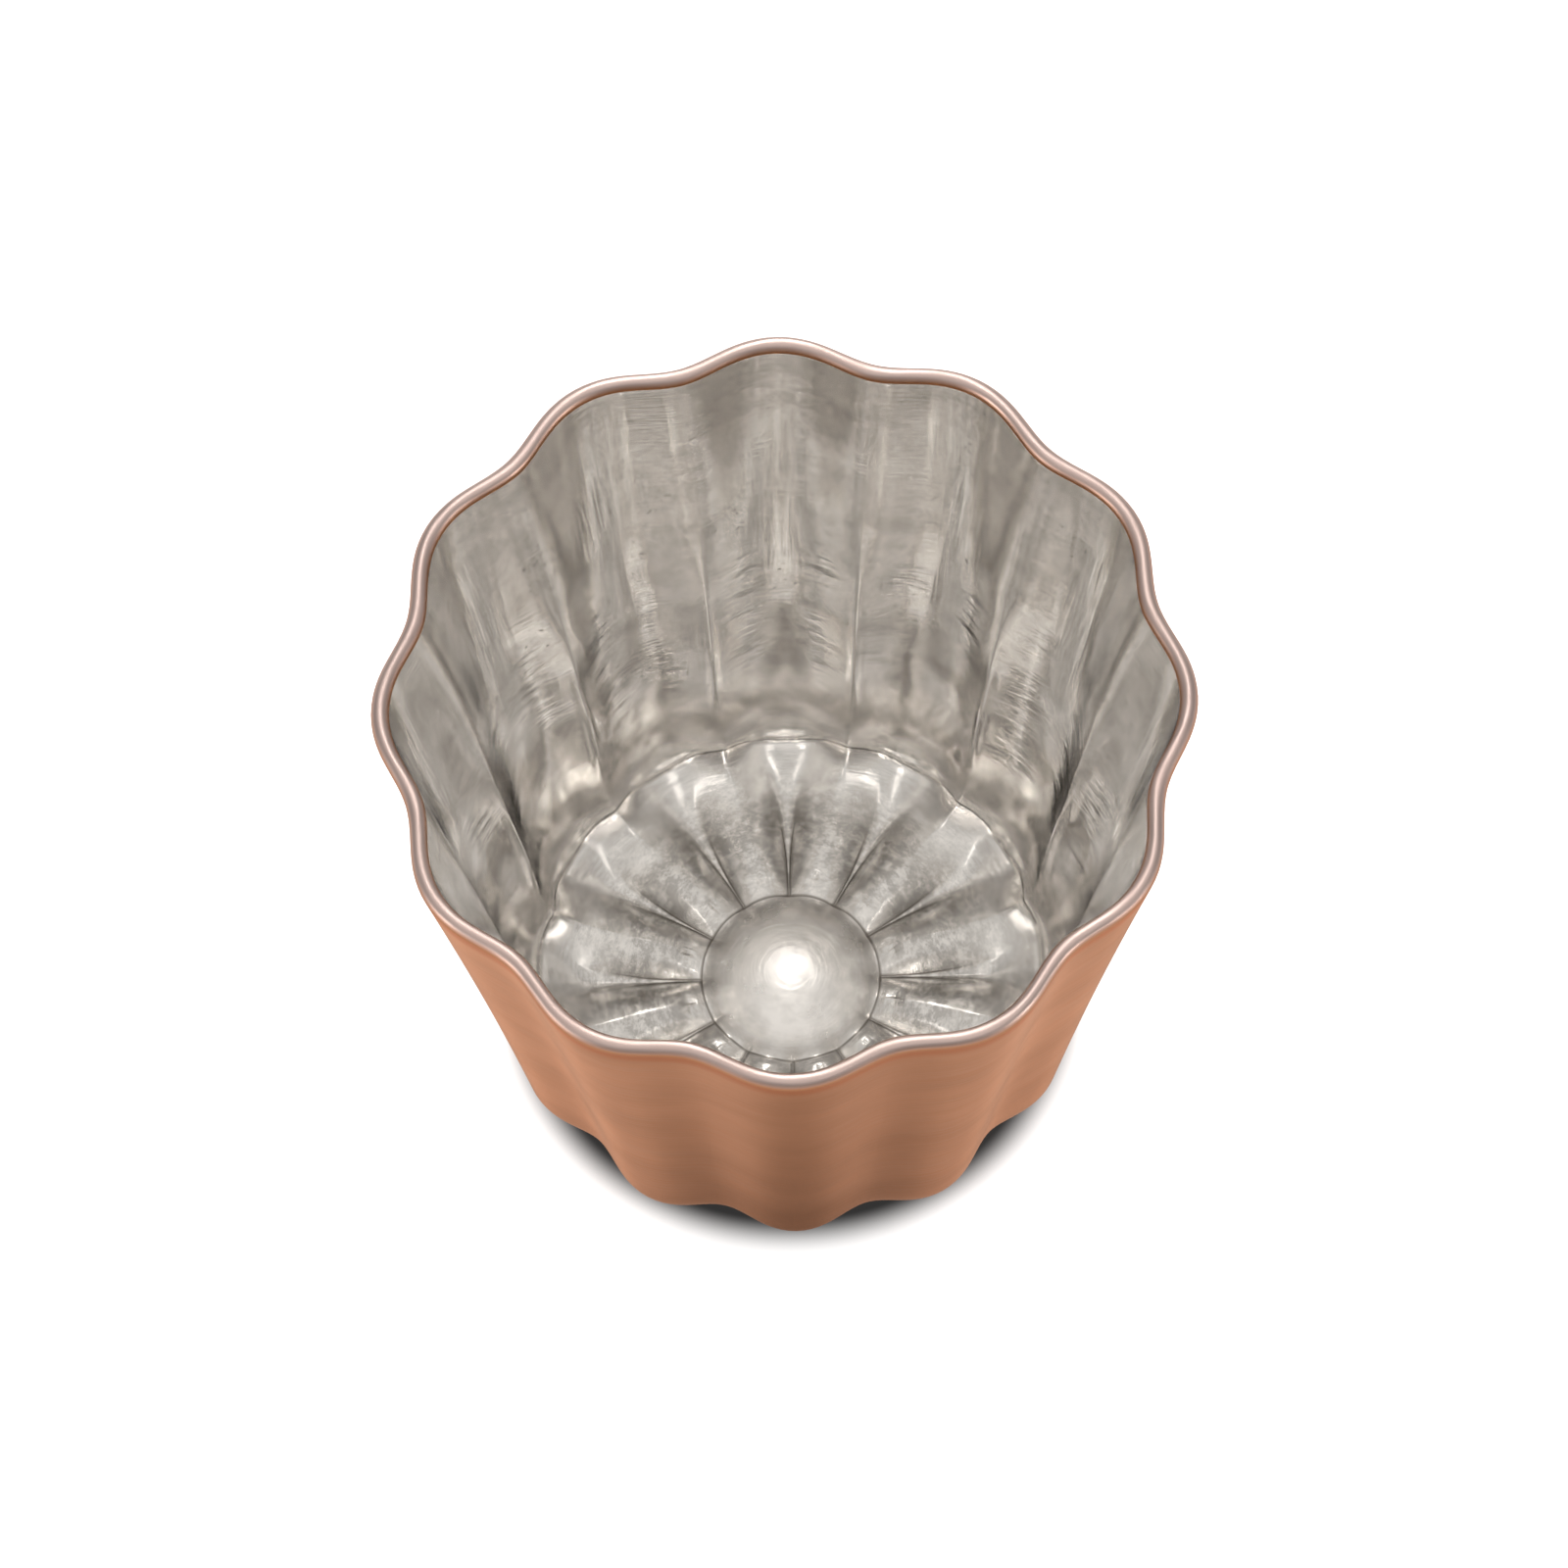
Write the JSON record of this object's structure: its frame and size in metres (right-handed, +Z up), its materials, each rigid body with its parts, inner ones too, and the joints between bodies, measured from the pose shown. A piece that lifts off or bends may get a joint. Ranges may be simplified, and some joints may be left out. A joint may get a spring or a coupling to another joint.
{
  "type": "canele mould",
  "caption": "Small tapered baking mould in tinned copper, with a fluted wall, rounded lobes and a domed, petalled base.",
  "frame": {"origin": "centre of the base, on the table that the mould stands on", "axes": "+Z up along the axis of the cup to its open rim, +X and -Y each through a ridge of the outside"},
  "size_m": [0.055, 0.055, 0.05],
  "materials": {
    "copper": "satin copper outside, hand-wiped tin inside, polished edge"
  },
  "bodies": {
    "root": {"mould": "copper"}
  },
  "joints": []
}
